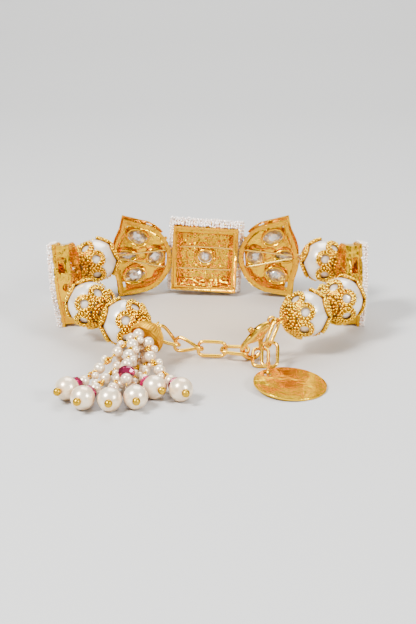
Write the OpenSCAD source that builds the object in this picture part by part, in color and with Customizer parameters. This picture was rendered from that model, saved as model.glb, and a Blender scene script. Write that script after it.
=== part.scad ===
// Strung flexible bracelet of five open gold plaques, six capped pearl beads, a lobster clasp with an
// extension chain, a pearl tassel and a plain round tag.
// Millimetres. Z is up, the floor is Z = 0, the clasp side faces minus Y.
// A plaque is drawn with X along the bracelet, Y outward from its back face and Z up.

/* [Plaques] */
// Depth of every plaque from its back face to its front face
plaque_depth = 4.2; // [3.9:0.1:4.6]
// Radial width of the flat bar round the back of a plaque
bar_width = 1.3; // [1:0.1:1.5]
// Thickness of the flat bar round the back of a plaque
bar_thick = 0.75; // [0.6:0.05:0.9]
// Thickness of the walls and of the front plate
sheet = 0.7; // [0.6:0.05:0.8]
// Radius of the holes that the two strands pass through
strand_hole = 0.6; // [0.55:0.05:0.65]
// Size of the square plaque along the bracelet and upward
square_side = 17.6; // [17:0.1:18]
// Radius of the hole behind the middle stone of the square plaque
square_hole = 2.0; // [1.7:0.1:2.2]
// Length of a fan plaque from its tip to the end of its bulge
fan_length = 15.9; // [15.6:0.1:16]
// Radius of the round side of a fan plaque
fan_radius = 9.8; // [9.6:0.1:10]
// Thickness of the bar that stands for a border of seed pearls
border_bar = 1.1; // [0.9:0.1:1.2]

/* [Beads] */
// Radius of a large pearl bead
pearl_r = 5.5; // [5.3:0.1:5.5]
// Outer radius of the pierced caps on a large bead
cap_r = 6.1; // [6:0.05:6.15]
// Thickness of a pierced cap
cap_wall = 0.5; // [0.4:0.05:0.5]
// Number of loops round a pierced cap
cap_loops = 6; // [5:1:6]
// Radius of the bore through a large bead
bore_r = 0.8; // [0.7:0.05:0.9]

/* [Strands and chain] */
// Radius of a stringing strand
strand_r = 0.22; // [0.18:0.01:0.25]
// Wire radius of the chain links
link_wire = 0.45; // [0.35:0.05:0.45]
// Width of a chain link between its wire centres
link_width = 3.7; // [3.5:0.1:3.9]
// Wire radius of the two jump rings
ring_wire = 0.28; // [0.22:0.02:0.3]

/* [Clasp] */
// Opening of the clasp lever from its rest position
lever_open = 0; // [0:1:14]

/* [Tassel and tag] */
// Radius of the large pearls of the tassel
drop_r = 2.75; // [2.5:0.05:2.75]
// Radius of the small pearls of the tassel
small_r = 1.2; // [1:0.05:1.25]
// Radius of the round tag
tag_r = 8.45; // [8:0.05:8.5]
// Thickness of the round tag
tag_thick = 0.5; // [0.4:0.05:0.6]

/* [Shown] */
// Sub-part to show

/* [Hidden] */

gap = 0.1;
fine = 64;
medium = 32;
coarse = 20;
stone_sides = 12;
wire_sides = 6;
cut = 0.02;
far = 30;
gold = [0.93, 0.66, 0.27];
pearl_colour = [0.93, 0.9, 0.84];
clear_colour = [0.8, 0.83, 0.84];
magenta = [0.75, 0.06, 0.32];

// Places of the plaques: position of the back face or tip, then the turn about X, Y and Z
centre_place = [[-0.784, 37.948, 10.45], [0, 2.8, -3]];
left_place = [[-9.684, 39.148, 10.1], [0, 4, 7]];
right_place = [[8.516, 38.548, 10.25], [0, -4, -7]];
side_left_place = [[-33.234, 27.348, 11.42], [-5.5, 0, 87]];
side_right_place = [[33.866, 27.748, 11.07], [0, 0, -86]];

// Places of the large beads: centre, then the direction of the bore toward the clasp
bead_back_left = [[-29.734, 32.948, 12], [-0.62, -0.78, -0.06]];
bead_back_right = [[31.086, 34.508, 11.3], [0.71, -0.71, 0]];
bead_left_rear = [[-29.104, 5.248, 9.3], [0.55, -0.82, -0.1]];
bead_left_front = [[-19.954, -3.252, 7.45], [0.787, -0.613, 0.07]];
bead_right_rear = [[32.956, 4.828, 10.5], [-0.55, -0.82, -0.03]];
bead_right_front = [[23.816, -3.652, 9.8], [-0.784, -0.619, 0.036]];

function unit(v) = v / norm(v);
function mix(a, b, t) = a * (1 - t) + b * t;
function turn_x(v, a) = [v[0], v[1] * cos(a) - v[2] * sin(a), v[1] * sin(a) + v[2] * cos(a)];
function turn_y(v, a) = [v[0] * cos(a) + v[2] * sin(a), v[1], v[2] * cos(a) - v[0] * sin(a)];
function turn_z(v, a) = [v[0] * cos(a) - v[1] * sin(a), v[0] * sin(a) + v[1] * cos(a), v[2]];
function turned(v, a) = turn_z(turn_y(turn_x(v, a[0]), a[1]), a[2]);
function mirrored(v, side) = [v[0] * side, v[1], v[2]];
function world(place, v, side = 1) = place[0] + turned(mirrored(v, side), place[1]);

// Turns that carry the Z axis onto a direction
function aim(d) = [0, acos(unit(d)[2]), atan2(d[1], d[0])];

module placed(place, side = 1) {
  translate(place[0]) rotate(place[1]) mirror([side < 0 ? 1 : 0, 0, 0]) children();
}

module aimed(point, direction) {
  translate(point) rotate(aim(direction)) children();
}

// A flat shape drawn in X and Z, carried from one Y to another
module slab(from, to) {
  translate([0, to, 0]) rotate([90, 0, 0]) linear_extrude(height = to - from) children();
}

// An outline moved inward by a distance, point by point
function edge_normal(p, q) = let (d = unit(q - p)) [d[1], -d[0]];
function inset(pts, d) = [
  for (i = [0 : len(pts) - 1])
    let (
      n = len(pts),
      a = edge_normal(pts[(i + n - 1) % n], pts[i]),
      b = edge_normal(pts[i], pts[(i + 1) % n])
    )
    pts[i] + (a + b) * d / (1 + a * b)
];

// Rings of points round a path, each with its own side and up directions
function ring_points(c, s, u, a, b, n) = [
  for (j = [0 : n - 1]) c + s * (a * cos(360 * j / n)) + u * (b * sin(360 * j / n))
];
function ring_faces(i, k, n) = [
  for (j = [0 : n - 1]) each [
    [i * n + j, i * n + (j + 1) % n, k * n + j],
    [i * n + (j + 1) % n, k * n + (j + 1) % n, k * n + j]
  ]
];
function flat(list) = [for (a = list) each a];

module skin(rings, closed) {
  n = len(rings[0]);
  m = len(rings);
  sides = [for (i = [0 : m - (closed ? 1 : 2)]) each ring_faces(i, (i + 1) % m, n)];
  ends = closed ? [] : [
    [for (j = [n - 1 : -1 : 0]) j],
    [for (j = [0 : n - 1]) (m - 1) * n + j]
  ];
  polyhedron(points = flat(rings), faces = concat(sides, ends));
}

function path_tangent(p, i) =
  unit(p[min(i + 1, len(p) - 1)] - p[max(i - 1, 0)]);
function path_ring(p, i, r, n) =
  let (t = path_tangent(p, i), s = unit(cross(t, [0.05, 0.02, 1])), u = cross(s, t))
  ring_points(p[i], s, u, r, r, n);

module wire(points, r, n = wire_sides) {
  skin([for (i = [0 : len(points) - 1]) path_ring(points, i, r, n)], false);
}

// Fan outline: a round side from the tip to the shoulder, a cusp, and an ogee down to the bulge
fan_tip_steps = 7;
fan_shoulder = 70;
fan_cusp = [13.6, 10.7];
fan_ogee = [[14.1, 7.4], [15.3, 4.2]];
fan_bulge_z = 2;
function fan_half() = concat(
  [for (i = [0 : fan_tip_steps]) let (a = i * fan_shoulder / fan_tip_steps)
    [fan_radius - fan_radius * cos(a), fan_radius * sin(a)]],
  [fan_cusp],
  fan_ogee,
  [[fan_length - 0.1, fan_bulge_z]]
);
function fan_outline() =
  let (h = fan_half())
  concat(h, [for (i = [len(h) - 1 : -1 : 1]) [h[i][0], -h[i][1]]]);

// Stones of a fan: X, Z, length, width, turn
fan_stones = [
  [4.2, 0, 4.6, 4.4, 90],
  [9.4, 5.4, 5.7, 4.0, 22],
  [9.6, -5.4, 5.7, 4.1, -22],
  [11.9, 0, 5.2, 2.9, 180]
];
collet = 0.35;
stone_back = 2.3;

module oval(length, width, grow) {
  scale([length / 2 + grow, width / 2 + grow]) circle(r = 1, $fn = stone_sides);
}

module drop_shape(length, width, grow) {
  polygon([
    for (i = [0 : stone_sides - 1])
      let (a = 360 * i / stone_sides)
      [(length / 2 + grow) * cos(a), (width / 2 + grow) * sin(a) * (1 - 0.35 * cos(a))]
  ]);
}

module stone_shape(s, grow) {
  translate([s[0], s[1]]) rotate(s[4])
    if (s[4] == 180) drop_shape(s[2], s[3], grow);
    else oval(s[2], s[3], grow);
}

function stone_ring(s, size, y) = [
  for (i = [0 : stone_sides - 1])
    let (
      a = 360 * i / stone_sides,
      taper = s[4] == 180 ? 1 - 0.35 * cos(a) : 1,
      x = (s[2] / 2) * size * cos(a),
      z = (s[3] / 2) * size * sin(a) * taper
    )
    [s[0] + x * cos(s[4]) - z * sin(s[4]), y, s[1] + x * sin(s[4]) + z * cos(s[4])]
];

// A cut stone: back facet, pavilion, girdle, crown and table
stone_levels = [[0.45, 0], [0.97, 0.8], [0.97, 1.1], [0.7, 1.7]];
module cut_stone(s, back) {
  skin([for (l = [0 : len(stone_levels) - 1]) stone_ring(s, stone_levels[l][0], back + stone_levels[l][1])], false);
}

// Body of a fan plaque
hole_spread = 2.5;
tip_cut = 1.3;
tip_cut_from = 2.2;
gallery = [[2.2, 6.1, 1.7, 0.8, 55], [6.4, 8.6, 1.7, 0.8, 22], [12.3, 8.6, 1.7, 0.8, -75]];
module fan_body(tip_spread) {
  edge = fan_outline();
  difference() {
    union() {
      slab(0, bar_thick) difference() {
        polygon(edge);
        polygon(inset(edge, bar_width));
      }
      slab(bar_thick / 2, plaque_depth - cut) difference() {
        polygon(inset(edge, 0.25));
        polygon(inset(edge, 0.25 + sheet));
      }
      slab(plaque_depth - sheet, plaque_depth) difference() {
        polygon(inset(edge, -0.3));
        for (s = fan_stones) stone_shape(s, gap);
      }
      for (s = fan_stones) slab(stone_back, plaque_depth - sheet / 2) difference() {
        stone_shape(s, gap + collet);
        stone_shape(s, gap);
      }
    }
    for (g = gallery, m = [-1, 1])
      translate([g[0], plaque_depth, m * g[1]]) rotate([0, -m * g[4], 0])
        cube([g[2], 2 * sheet + 1, g[3]], center = true);
    for (m = [-1, 1])
      translate([14.6, plaque_depth / 2 + 0.15, m * 5.6])
        rotate([0, m * 20, 0]) cube([3, 1.7, 3.2], center = true);
    for (m = tip_spread > 1 ? [-1, 1] : [0])
      translate([-1, strand_y, m * tip_spread]) rotate([0, 90, 0])
        cylinder(r = tip_spread > 1 ? strand_hole : strand_hole + 0.45, h = 4, $fn = coarse);
    translate([tip_cut - 5, tip_cut_from, -5]) cube([5, 5, 10]);
    translate([fan_length - 3, strand_y, 0]) rotate([0, 90, 0])
      cylinder(r = strand_hole + 0.45, h = 5, $fn = coarse);
  }
}

strand_y = 1.45;

module fan_border() {
  edge = fan_outline();
  slab(plaque_depth + gap, plaque_depth + gap + border_bar) difference() {
    polygon(inset(edge, -0.2));
    polygon(inset(edge, border_bar - 0.2));
  }
}

// Square plaque: side of the back bar, windows along each wall, petals round the middle stone
square_height = square_side + 0.2;
window_length = 3.9;
window_pitch = 6.3;
petal_count = 8;
petal_inner = 4.1;
square_stone = [0, 0, 3.8, 3.8, 0];
function petal(i) =
  let (a = 45 * i, long = i % 2 == 1 ? 6.3 : 4.0, r = petal_inner + long / 2)
  [r * cos(a), r * sin(a), long, i % 2 == 1 ? 2.9 : 2.6, a];

module square_frame(outer, inner) {
  difference() {
    square([square_side + outer, square_height + outer], center = true);
    square([square_side + inner, square_height + inner], center = true);
  }
}

module square_body() {
  difference() {
    union() {
      slab(0, bar_thick) square_frame(0, -2 * bar_width);
      slab(bar_thick / 2, plaque_depth - sheet / 2) square_frame(-0.5, -0.5 - 2 * sheet);
      slab(plaque_depth - sheet, plaque_depth) difference() {
        square([square_side + 1.2, square_height + 1.2], center = true);
        circle(r = square_hole, $fn = medium);
      }
      translate([0, plaque_depth - sheet / 2, 0]) rotate([90, 0, 0])
        difference() {
          cylinder(r1 = square_hole + 1.2, r2 = square_hole + 0.7, h = 1.1, $fn = medium);
          translate([0, 0, -1]) cylinder(r = square_hole, h = 4, $fn = medium);
        }
    }
    for (k = [-1, 0, 1], turn = [0, 90])
      rotate([0, turn, 0])
        translate([0, plaque_depth / 2 - 0.05, k * window_pitch])
          cube([2 * far, 1.9, window_length], center = true);
    for (m = [-1, 1])
      translate([-far, square_strand_y, m * square_spread]) rotate([0, 90, 0])
        cylinder(r = strand_hole, h = 2 * far, $fn = coarse);
  }
}
square_spread = 3.15;
square_strand_y = 2.1;

module petal_collets() {
  for (i = [0 : petal_count - 1])
    slab(plaque_depth - cut, plaque_depth + 0.9) difference() {
      stone_shape(petal(i), gap + 0.3);
      stone_shape(petal(i), gap);
    }
  slab(plaque_depth - cut, plaque_depth + 1.0) difference() {
    circle(r = 3.2, $fn = medium);
    circle(r = 2.65, $fn = medium);
  }
}

module square_border() {
  slab(plaque_depth + gap, plaque_depth + gap + border_bar)
    square_frame(1.2 + 0.9, 1.2 + 0.9 - 2 * border_bar);
}

// Large pearl with its bore, and its two pierced caps
module pearl(bead) {
  color(pearl_colour)
    aimed(bead[0], bead[1]) difference() {
      sphere(r = pearl_r, $fn = fine);
      cylinder(r = bore_r, h = 3 * pearl_r, center = true, $fn = coarse);
    }
}

cap_tilt = 50;
loop_outer = 2.35;
loop_inner = 1.25;
cap_hole = 0.95;
module cap() {
  difference() {
    intersection() {
      difference() {
        sphere(r = cap_r, $fn = fine);
        sphere(r = cap_r - cap_wall, $fn = fine);
      }
      union() {
        cylinder(r = 2.5, h = far, $fn = coarse);
        for (i = [0 : cap_loops - 1])
          rotate([0, cap_tilt, 360 * i / cap_loops]) cylinder(r = loop_outer, h = far, $fn = coarse);
      }
    }
    cylinder(r = cap_hole, h = far, $fn = coarse);
    for (i = [0 : cap_loops - 1])
      rotate([0, cap_tilt, 360 * i / cap_loops]) cylinder(r = loop_inner, h = far, $fn = coarse);
  }
}

module caps(bead) {
  color(gold)
    aimed(bead[0], bead[1]) {
      cap();
      mirror([0, 0, 1]) cap();
    }
}

// The two stringing strands run from one end eye through every piece to the other end eye
pair_gap = 0.36;
bead_ends = 6.0;
function bead_pass(bead, m) =
  let (d = unit(bead[1]), up = unit([0, 0, 1] - d * d[2]))
  [for (t = [-bead_ends, bead_ends]) bead[0] + d * t + up * (m * pair_gap)];
function end_pass(centre, d, m) =
  let (up = unit([0, 0, 1] - d * d[2]))
  [for (t = [bead_ends + 0.4, -bead_ends]) centre + d * t + up * (m * pair_gap)];
function fan_pass(place, m, spread, side) = [
  for (p = [[fan_length + 0.4, pair_gap], [fan_length - 2, pair_gap], [2, spread], [-0.15, spread]])
    world(place, [p[0], strand_y, m * p[1]], side)
];
function back_to_front(list) = [for (i = [len(list) - 1 : -1 : 0]) list[i]];
function square_pass(m) = [
  for (x = [-square_side / 2 - 0.05, square_side / 2 + 0.05])
    world(centre_place, [x, square_strand_y, m * square_spread])
];
tip_pair = 0.35;
function strand_path(m) = concat(
  end_pass(bead_left_front[0], eye_left_dir, m),
  back_to_front(bead_pass(bead_left_rear, m)),
  fan_pass(side_left_place, m, tip_pair, -1),
  back_to_front(bead_pass(bead_back_left, m)),
  fan_pass(left_place, m, hole_spread, -1),
  square_pass(m),
  back_to_front(fan_pass(right_place, m, hole_spread, 1)),
  bead_pass(bead_back_right, m),
  back_to_front(fan_pass(side_right_place, m, tip_pair, 1)),
  bead_pass(bead_right_rear, m),
  back_to_front(end_pass(bead_right_front[0], eye_right_dir, m))
);

// Jump rings: centre, direction of the end eye, direction across it in the plane of the ring
ring_r = 1.5;
eye_r = 0.68;
eye_wire = 0.22;
left_ring = [[-12.634, -8.452, 7.9], unit([-0.92, 0.38, 0.05]), unit([0.15, 0.45, -0.88])];
right_ring = [[16.746, -9.192, 10], unit([0.79, 0.6, 0.05]), unit([0.6, -0.79, 0.05])];
function ring_point(ring, angle, r = ring_r) =
  ring[0] + r * (cos(angle) * ring[1] + sin(angle) * in_plane(ring));
function in_plane(ring) = unit(ring[2] - ring[1] * (ring[1] * ring[2]));
function ring_tangent(ring, angle) = cos(angle) * in_plane(ring) - sin(angle) * ring[1];
function ring_normal(ring) = cross(ring[1], in_plane(ring));

eye_left = ring_point(left_ring, 0);
eye_right = ring_point(right_ring, 0);
eye_left_dir = unit(eye_left - bead_left_front[0]);
eye_right_dir = unit(eye_right - bead_right_front[0]);
eye_barrel = 0.5;

module torus(r, w, n = medium, m = coarse) {
  rotate_extrude($fn = n) translate([r, 0]) circle(r = w, $fn = m);
}

// End eye: a small barrel with a blind bore for the strands, and a closed eye
module end_eye(point, direction, normal) {
  color(gold) union() {
    aimed(point, normal) torus(eye_r, eye_wire);
    aimed(point - direction * (eye_r + 0.1), -direction) difference() {
      cylinder(r = 0.9, h = eye_barrel, $fn = coarse);
      translate([0, 0, 0.25]) cylinder(r = 0.7, h = eye_barrel, $fn = coarse);
    }
  }
}

// Chain links: a long round-cornered loop whose plane turns along its length
link_corner = 1.3;
corner_steps = 3;
function link_outline(length) =
  let (a = length / 2 - link_corner, b = link_width / 2 - link_corner)
  flat([
    for (q = [0 : 3])
      let (sx = q == 0 || q == 3 ? 1 : -1, sz = q < 2 ? 1 : -1)
      concat(
        [for (k = [0 : corner_steps])
          let (w = 90 * q + 90 * k / corner_steps)
          [sx * a + link_corner * cos(w), sz * b + link_corner * sin(w)]],
        q % 2 == 0 ? [for (t = [0.33, 0.67]) [sx * a * (1 - 2 * t), sz * (b + link_corner)]] : []
      )
  ]);

module link(from, to, roll_from, roll_to) {
  along = unit(to - from);
  side = unit(cross(along, [0, 0, 1]));
  up = cross(side, along);
  length = norm(to - from);
  middle = (from + to) / 2;
  pts = link_outline(length);
  rolls = [for (p = pts) mix(roll_from, roll_to, p[0] / length + 0.5)];
  centres = [for (i = [0 : len(pts) - 1])
    middle + along * pts[i][0] + (side * cos(rolls[i]) + up * sin(rolls[i])) * pts[i][1]];
  normals = [for (r = rolls) up * cos(r) - side * sin(r)];
  n = len(pts);
  rings = [
    for (i = [0 : n - 1])
      let (
        t = unit(centres[(i + 1) % n] - centres[(i + n - 1) % n]),
        u = unit(normals[i] - t * (normals[i] * t)),
        s = cross(t, u)
      )
      ring_points(centres[i], s, u, link_wire, link_wire, wire_sides)
  ];
  color(gold) skin(rings, true);
}

// Points where the links meet
meet = 0.51;
link_start = ring_point(left_ring, 120, ring_r - ring_wire - link_wire - gap);
joint_12 = [-7.264, -7.792, 3.71];
joint_23 = [-1.694, -8.222, 2.63];
joint_34 = [3.976, -8.352, 2.45];
module chain_link(from, to, roll_from, roll_to) {
  d = unit(to - from);
  link(from - d * meet, to + d * meet, roll_from, roll_to);
}

// Clasp: X along the body from the tail eye, Y toward the spine, Z through its thickness
clasp_point = ring_point(right_ring, -120);
clasp_aim = [9.016, -9.552, 2.186];
clasp_x = unit(clasp_aim - clasp_point);
clasp_face = [-0.4, 0.89, -0.21];
clasp_z = unit(clasp_face - clasp_x * (clasp_x * clasp_face));
clasp_y = cross(clasp_z, clasp_x);
clasp_eye_x = -0.6;
clasp_eye_turn = let (t = ring_tangent(right_ring, -120)) atan2(clasp_z * t, clasp_y * t);
hook_centre = [7.9, -0.9];
hook_r = 2.25;
hook_steps = 11;
clasp_sides = 12;

module in_clasp() {
  multmatrix([
    [clasp_x[0], clasp_y[0], clasp_z[0], clasp_point[0]],
    [clasp_x[1], clasp_y[1], clasp_z[1], clasp_point[1]],
    [clasp_x[2], clasp_y[2], clasp_z[2], clasp_point[2]],
    [0, 0, 0, 1]
  ]) translate([-clasp_eye_x, 0, 0]) children();
}
function clasp_world(p) =
  clasp_point + clasp_x * (p[0] - clasp_eye_x) + clasp_y * p[1] + clasp_z * p[2];

// Sections of the clasp body: X, Y, half width, half thickness
clasp_sections = [
  [0.1, 0, 0.5, 0.5],
  [1.0, 0.1, 1.05, 0.9],
  [2.2, 0.35, 1.5, 1.2],
  [3.8, 0.55, 1.7, 1.3],
  [5.4, 0.8, 1.4, 1.15],
  [6.7, 1.15, 0.95, 0.9]
];
pivot = [3.8, -0.35];
pin_r = 0.35;
lever_half = 0.55;
slot_half = 0.7;

function body_path() = concat(
  [for (s = clasp_sections) [s[0], s[1], 0]],
  [for (i = [0 : hook_steps])
    let (a = 100 - 200 * i / hook_steps)
    [hook_centre[0] + hook_r * cos(a), hook_centre[1] + hook_r * sin(a), 0]]
);
function body_half(i) =
  i < len(clasp_sections) ? [clasp_sections[i][2], clasp_sections[i][3]]
  : let (t = (i - len(clasp_sections)) / hook_steps) [mix(0.72, 0.5, t), mix(0.75, 0.55, t)];

module clasp_shell() {
  p = body_path();
  skin([
    for (i = [0 : len(p) - 1])
      let (t = path_tangent(p, i), s = [-t[1], t[0], 0], h = body_half(i))
      ring_points(p[i], s, [0, 0, -1], h[0], h[1], clasp_sides)
  ], false);
}

module clasp_block(x0, x1, y0, y1, half) {
  translate([x0, y0, -half]) cube([x1 - x0, y1 - y0, 2 * half]);
}

// Lever of the clasp: hub, gate that closes on the hook, and a trigger that stands out of the spine
gate_end = [6.75, -2.6];
trigger_end = [4.6, 3.1];
module lever_shape() {
  difference() {
    translate([pivot[0], pivot[1], -lever_half]) linear_extrude(height = 2 * lever_half)
      polygon([[-0.8, -0.3], [-0.5, -0.8], [0.3, -0.95], gate_end - pivot + [0, -0.28],
        gate_end - pivot + [0.3, 0.05], gate_end - pivot + [-0.1, 0.35], [0.9, 0.3],
        trigger_end - pivot + [0.35, -0.3], trigger_end - pivot + [0.1, 0.1],
        trigger_end - pivot + [-0.9, -0.1], [-0.5, 0.7]]);
    translate([pivot[0], pivot[1], -2]) cylinder(r = pin_r + gap, h = 4, $fn = coarse);
  }
}

// Tag: a plain round plate that leans on a thin wire loop
tag_centre = [18.896, -26.472, 0.99];
tag_lean = 5;
tag_heading = 141;
tag_hole_r = 0.95;
tag_hole_out = 6.4;
module in_tag() {
  translate(tag_centre) rotate([0, 0, tag_heading]) rotate([0, -tag_lean, 0]) children();
}

// Tassel: strings fan out of the dome to the large pearls on the floor
tassel_eye_r = 0.8;
tassel_eye_wire = 0.25;
tassel_point = ring_point(left_ring, -120);
tassel_axis = unit([0.5, 0.75, 0.43]);
dome_r = 4.3;
dome_depth = 4.3;
dome_wall = 0.45;
dome_top = tassel_point - tassel_axis * (tassel_eye_r + tassel_eye_wire * 0.4);
dome_mouth = dome_top - tassel_axis * dome_depth;

// Large pearls of the strings: X, Y, heading of the end ball, small pearls on the string
tassel_table = [
  [-31.334, -33.552, 240, 4],
  [-27.334, -38.852, 255, 4],
  [-21.384, -39.652, 270, 5],
  [-15.734, -38.452, 275, 4],
  [-11.734, -32.752, 297, 4],
  [-5.834, -34.112, 288, 4]
];
tassel_rise = 8;
ball_r = 0.97;
rondelle_r = 1.3;
rondelle_half = 0.75;

function tassel_dir(k) =
  let (h = tassel_table[k][2])
  [cos(h) * cos(tassel_rise), sin(h) * cos(tassel_rise), sin(tassel_rise)];
function tassel_pearl(k) = [tassel_table[k][0], tassel_table[k][1], drop_r];

// Places in the mouth of the dome that the strings leave from: angle round its axis, share of the radius,
// pull of the curve at the mouth and at the far end, places of the first and last small pearl
mouth_places = [
  [152, 0.97, 2.1, 2.7, 0.14, 0.86],
  [214, 1.08, 6.9, 5.2, 0.19, 0.83],
  [314, 0.00, 4.1, 7.3, 0.17, 0.85],
  [272, 1.08, 9.0, 3.2, 0.22, 0.85],
  [323, 1.01, 3.6, 3.1, 0.11, 0.83],
  [33, 1.08, 6.3, 3.8, 0.10, 0.82],
  [94, 1.07, 4.9, 2.9, 0.08, 0.82]
];
mouth_r = 2.6;
mouth_x = unit(cross(tassel_axis, [0, 0, 1]));
mouth_y = cross(mouth_x, tassel_axis);
function mouth_point(k) =
  dome_mouth + mouth_r * mouth_places[k][1]
    * (mouth_x * cos(mouth_places[k][0]) + mouth_y * sin(mouth_places[k][0]));
function curve(p, t) =
  p[0] * pow(1 - t, 3) + p[1] * (3 * t * pow(1 - t, 2)) + p[2] * (3 * t * t * (1 - t)) + p[3] * pow(t, 3);
function string_curve(k) =
  let (d = tassel_dir(k), end = tassel_pearl(k) - d * (drop_r + 2 * rondelle_half + 3 * gap))
  [mouth_point(k), mouth_point(k) - tassel_axis * mouth_places[k][2], end - d * mouth_places[k][3], end];
short_end = unit([0.1, -2.6, -1.2]);
short_point = [-18.234, -28.552, 5.2];
short_curve = [
  mouth_point(6), mouth_point(6) - tassel_axis * mouth_places[6][2],
  short_point - short_end * mouth_places[6][3], short_point
];
curve_steps = 18;
function small_count(k) = k == 6 ? 4 : tassel_table[k][3];
function small_at(k, i) = mix(mouth_places[k][4], mouth_places[k][5], i / (small_count(k) - 1));
function string_points(k) = k == 6 ? short_curve : string_curve(k);
function curve_dir(p, t) = unit(curve(p, min(t + 0.01, 1)) - curve(p, max(t - 0.01, 0)));

module drilled(point, direction) {
  aimed(point, direction) difference() {
    children();
    cylinder(r = 0.38, h = 4 * drop_r, center = true, $fn = stone_sides);
  }
}

module small_pearl(point, direction) {
  color(pearl_colour) drilled(point, direction) sphere(r = small_r, $fn = 14);
}

module rondelle(point, direction) {
  color(magenta) drilled(point, direction) rotate_extrude($fn = stone_sides)
    polygon([[0, -rondelle_half], [0.8, -rondelle_half], [rondelle_r, -0.2], [rondelle_r, 0.2],
      [0.8, rondelle_half], [0, rondelle_half]]);
}

module tassel_string(k) {
  p = string_points(k);
  n = small_count(k);
  for (i = [0 : n - 1]) small_pearl(curve(p, small_at(k, i)), curve_dir(p, small_at(k, i)));
  if (k == 6) {
    rondelle(p[3] + short_end * rondelle_half, short_end);
    small_pearl(p[3] + short_end * (2 * rondelle_half + small_r + gap), short_end);
  } else {
    d = tassel_dir(k);
    rondelle(tassel_pearl(k) - d * (drop_r + rondelle_half + gap), d);
    color(pearl_colour) drilled(tassel_pearl(k), d) sphere(r = drop_r, $fn = medium);
  }
}

tassel_wire_r = 0.16;
knot = dome_top - tassel_axis * 1.35;
module tassel_wire(k) {
  p = string_points(k);
  d = k == 6 ? short_end : tassel_dir(k);
  end = k == 6 ? p[3] + d * 4.2 : tassel_pearl(k) + d * (drop_r + gap + ball_r * 0.95);
  wire(concat([knot], [for (i = [0 : curve_steps]) curve(p, i / curve_steps)], [end]), tassel_wire_r);
  translate(end) sphere(r = k == 6 ? 0.32 : ball_r, $fn = 14);
}

module plaque_centre() {
  color(gold) placed(centre_place) {
    square_body();
    petal_collets();
  }
}
module plaque_left() {
  color(gold) placed(left_place, -1) fan_body(hole_spread);
}
module plaque_right() {
  color(gold) placed(right_place) fan_body(hole_spread);
}
module plaque_side_left() {
  color(gold) placed(side_left_place, -1) fan_body(tip_pair);
}
module plaque_side_right() {
  color(gold) placed(side_right_place) fan_body(tip_pair);
}

module centre_stone() {
  color(clear_colour) placed(centre_place) cut_stone(square_stone, plaque_depth - 1.2);
}
module petal_stones() {
  color(clear_colour) placed(centre_place)
    for (i = [0 : petal_count - 1]) cut_stone(petal(i), plaque_depth + gap);
}
module fan_gem(i) {
  cut_stone(fan_stones[i], stone_back + 0.2);
}
module stones_side_left() {
  color(clear_colour) placed(side_left_place, -1) for (i = [0 : 3]) fan_gem(i);
}
module stones_side_right() {
  color(clear_colour) placed(side_right_place) for (i = [0 : 3]) fan_gem(i);
}
module stone_left_tip() {
  color(clear_colour) placed(left_place, -1) fan_gem(0);
}
module stone_left_upper() {
  color(clear_colour) placed(left_place, -1) fan_gem(1);
}
module stone_left_lower() {
  color(clear_colour) placed(left_place, -1) fan_gem(2);
}
module stone_left_drop() {
  color(clear_colour) placed(left_place, -1) fan_gem(3);
}
module stone_right_tip() {
  color(clear_colour) placed(right_place) fan_gem(0);
}
module stone_right_upper() {
  color(clear_colour) placed(right_place) fan_gem(1);
}
module stone_right_lower() {
  color(clear_colour) placed(right_place) fan_gem(2);
}
module stone_right_drop() {
  color(clear_colour) placed(right_place) fan_gem(3);
}

module border_centre() {
  color(pearl_colour) placed(centre_place) square_border();
}
module border_side_left() {
  color(pearl_colour) placed(side_left_place, -1) fan_border();
}
module border_side_right() {
  color(pearl_colour) placed(side_right_place) fan_border();
}

module strand_upper() {
  color(gold) wire(strand_path(1), strand_r);
}
module strand_lower() {
  color(gold) wire(strand_path(-1), strand_r);
}
module end_eye_left() {
  end_eye(eye_left, eye_left_dir, ring_tangent(left_ring, 0));
}
module end_eye_right() {
  end_eye(eye_right, eye_right_dir, ring_tangent(right_ring, 0));
}
module jump_ring_left() {
  color(gold) aimed(left_ring[0], ring_normal(left_ring)) torus(ring_r, ring_wire);
}
module jump_ring_right() {
  color(gold) aimed(right_ring[0], ring_normal(right_ring)) torus(ring_r, ring_wire);
}

module clasp_body() {
  color(gold) in_clasp() {
    difference() {
      clasp_shell();
      clasp_block(2.9, 7.6, -3, 0.9, slot_half);
      clasp_block(2.9, 5.6, 0.5, 3, slot_half);
    }
    translate([pivot[0], pivot[1], -1]) cylinder(r = pin_r, h = 2, $fn = coarse);
    translate([clasp_eye_x, 0, 0]) rotate([clasp_eye_turn, 0, 0]) rotate([90, 0, 0]) torus(0.85, 0.32);
  }
}
module clasp_lever() {
  color(gold) in_clasp()
    translate([pivot[0], pivot[1], 0]) rotate([0, 0, lever_open])
      translate([-pivot[0], -pivot[1], 0]) lever_shape();
}

link_1_roll = -73;
hook_upper = clasp_world([8.75, -0.5, 0]);
module chain_link_1() {
  d = unit(joint_12 - link_start);
  link(link_start, joint_12 + d * meet, link_1_roll, 15);
}
module chain_link_2() {
  chain_link(joint_12, joint_23, 100, 8);
}
module chain_link_3() {
  chain_link(joint_23, joint_34, 90, 84);
}
module chain_link_4() {
  d = unit(hook_upper - joint_34);
  link(joint_34 - d * meet, hook_upper, 0, -10);
}
tail_far = [12.89, -7.75, 2.4];
tail_near = [12.51, -14.4, 0.5];
module tail_link_1() {
  link(tail_far, tail_near, 0, 0);
}
hang_dir = unit([-0.376, -0.41, -0.831]);
hang_angle = 140;
hang_start = ring_point(right_ring, hang_angle) - hang_dir * (ring_wire + link_wire + gap);
hang_end = hang_start + hang_dir * 6.78;
hang_roll = -71;
lying_start = [14.896, -12.262, 5.73];
lying_end = [14.566, -17.252, 1.5];
module tail_link_2() {
  link(hang_start, hang_end, hang_roll, hang_roll);
}
module tail_link_3() {
  link(lying_start, lying_end, 0, 0);
}

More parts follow.
